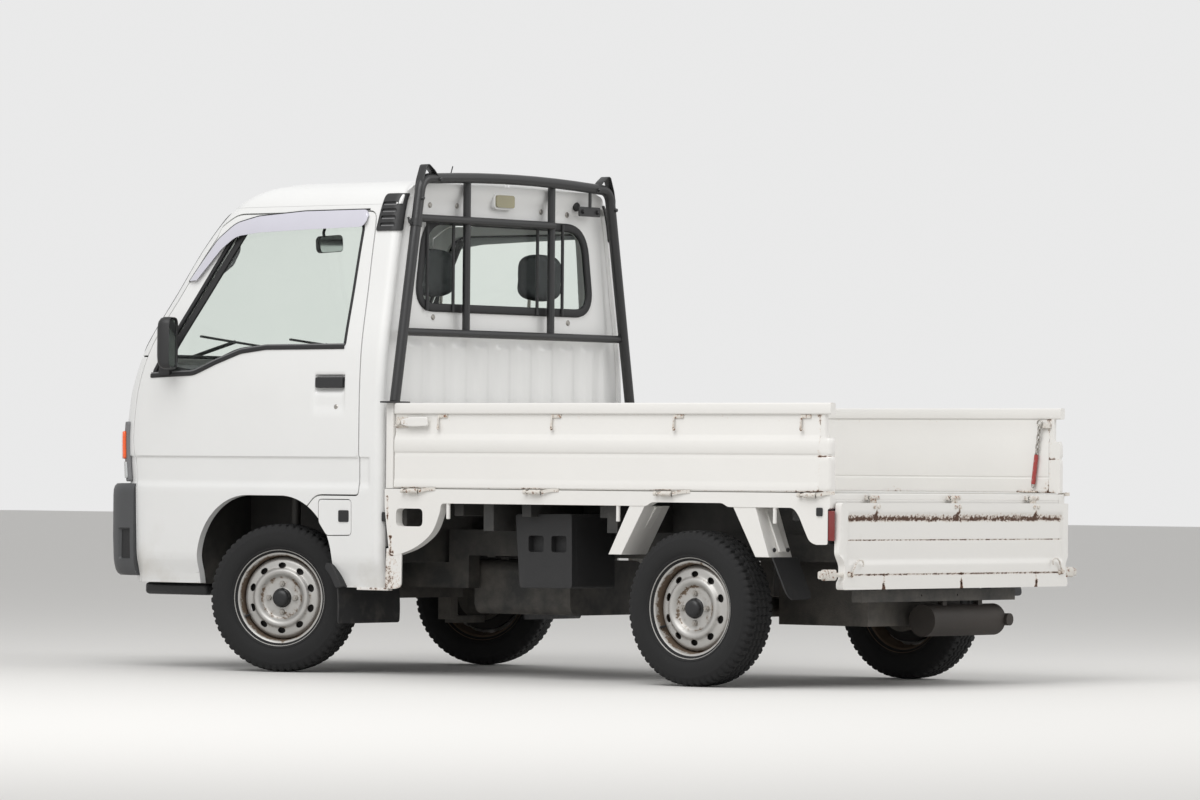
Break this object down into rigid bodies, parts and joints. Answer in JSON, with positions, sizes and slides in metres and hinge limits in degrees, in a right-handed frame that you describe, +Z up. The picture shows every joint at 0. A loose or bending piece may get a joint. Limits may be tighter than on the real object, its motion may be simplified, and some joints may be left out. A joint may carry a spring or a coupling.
{
  "type": "kei truck",
  "caption": "Small cab-over flat-bed truck with two doors, fold-down side gates and tailgate, steered front wheels and a tubular guard frame.",
  "frame": {"origin": "on the ground, in the middle of the outline as parked", "axes": "+X forward, +Y to the left side, +Z up"},
  "size_m": [3.3069, 1.636, 1.7947],
  "materials": {
    "body_paint": "white paint, slightly worn",
    "bed_paint": "white paint with rust spots",
    "chassis_black": "black underbody paint, dusty",
    "engine_metal": "dull engine metal",
    "exhaust_metal": "aged exhaust steel",
    "dark_plastic": "dark grey bumper plastic",
    "interior_plastic": "grey interior plastic",
    "seat_cloth": "dark grey seat cloth",
    "window_glass": "clear glass, slight green tint",
    "lamp_clear": "clear lamp lens",
    "lamp_red": "red lamp lens",
    "guard_black": "black painted tube",
    "flap_rubber": "black rubber",
    "wheel_silver": "silver wheel paint with brown dust",
    "tyre_rubber": "black tyre rubber"
  },
  "bodies": {
    "truck": {"chassis_frame": "chassis_black", "engine_block": "engine_metal", "fuel_tank": "chassis_black", "exhaust": "exhaust_metal", "rear_axle": "chassis_black", "front_axle": "chassis_black", "cab_floor": "chassis_black", "cab_side_left": "body_paint", "cab_side_right": "body_paint", "front_panel": "body_paint", "roof_panel": "body_paint", "cab_rear_wall": "body_paint", "windscreen": "window_glass", "rear_window": "window_glass", "dashboard": "interior_plastic", "seats": "seat_cloth", "headlamps": "lamp_clear", "front_bumper": "dark_plastic", "bed_floor": "bed_paint", "bed_front_wall": "bed_paint", "guard_frame": "guard_black", "tail_lamps": "lamp_red", "arch_braces": "bed_paint", "mudflaps": "flap_rubber", "under_bed_box": "dark_plastic"},
    "left_door": {"door_left": "body_paint", "door_glass_left": "window_glass", "mirror_left": "dark_plastic"},
    "right_door": {"door_right": "body_paint", "door_glass_right": "window_glass", "mirror_right": "dark_plastic"},
    "left_gate": {"side_gate_left": "bed_paint"},
    "right_gate": {"side_gate_right": "bed_paint"},
    "rear_gate": {"tailgate": "bed_paint"},
    "left_knuckle": {"knuckle_left": "engine_metal"},
    "right_knuckle": {"knuckle_right": "engine_metal"},
    "front_left_wheel": {"wheel_front_left": "wheel_silver", "tyre_front_left": "tyre_rubber"},
    "front_right_wheel": {"wheel_front_right": "wheel_silver", "tyre_front_right": "tyre_rubber"},
    "rear_left_wheel": {"wheel_rear_left": "wheel_silver", "tyre_rear_left": "tyre_rubber"},
    "rear_right_wheel": {"wheel_rear_right": "wheel_silver", "tyre_rear_right": "tyre_rubber"},
    "steering": {"steering_wheel": "interior_plastic"}
  },
  "joints": [
    {"name": "left_door_hinge", "type": "hinge", "parent": "truck", "child": "left_door", "pos_m": [1.4605, 0.681, 0.83], "axis": [0, 0, -1], "range_deg": [0, 65]},
    {"name": "right_door_hinge", "type": "hinge", "parent": "truck", "child": "right_door", "pos_m": [1.4605, -0.681, 0.83], "axis": [0, 0, 1], "range_deg": [0, 65]},
    {"name": "left_gate_hinge", "type": "hinge", "parent": "truck", "child": "left_gate", "pos_m": [-0.6625, 0.702, 0.645], "axis": [-1, 0, 0], "range_deg": [0, 180]},
    {"name": "right_gate_hinge", "type": "hinge", "parent": "truck", "child": "right_gate", "pos_m": [-0.6625, -0.702, 0.645], "axis": [1, 0, 0], "range_deg": [0, 180]},
    {"name": "rear_gate_hinge", "type": "hinge", "parent": "truck", "child": "rear_gate", "pos_m": [-1.6395, 0, 0.638], "axis": [0, 1, 0], "range_deg": [0, 180]},
    {"name": "left_steer", "type": "hinge", "parent": "truck", "child": "left_knuckle", "pos_m": [0.8555, 0.512, 0.2], "axis": [0, 0, 1], "range_deg": [-53, 13]},
    {"name": "right_steer", "type": "hinge", "parent": "truck", "child": "right_knuckle", "pos_m": [0.8555, -0.512, 0.2], "axis": [0, 0, 1], "range_deg": [-53, 13]},
    {"name": "steering_turn", "type": "hinge", "parent": "truck", "child": "steering", "pos_m": [1.0935, -0.305, 1.075], "axis": [-0.6691, 0, 0.7431], "range_deg": [-850, 210]},
    {"name": "front_left_spin", "type": "hinge", "parent": "left_knuckle", "child": "front_left_wheel", "pos_m": [0.8213, 0.60597, 0.262], "axis": [-0.342, 0.9397, 0], "continuous": true},
    {"name": "front_right_spin", "type": "hinge", "parent": "right_knuckle", "child": "front_right_wheel", "pos_m": [0.8897, -0.60597, 0.262], "axis": [-0.342, 0.9397, 0], "continuous": true},
    {"name": "rear_left_spin", "type": "hinge", "parent": "truck", "child": "rear_left_wheel", "pos_m": [-1.0295, 0.612, 0.262], "axis": [0, 1, 0], "continuous": true},
    {"name": "rear_right_spin", "type": "hinge", "parent": "truck", "child": "rear_right_wheel", "pos_m": [-1.0295, -0.612, 0.262], "axis": [0, 1, 0], "continuous": true}
  ],
  "couplings": [
    {"joint": "right_steer", "follows": "left_steer", "ratio": 1},
    {"joint": "steering_turn", "follows": "left_steer", "ratio": 16}
  ]
}
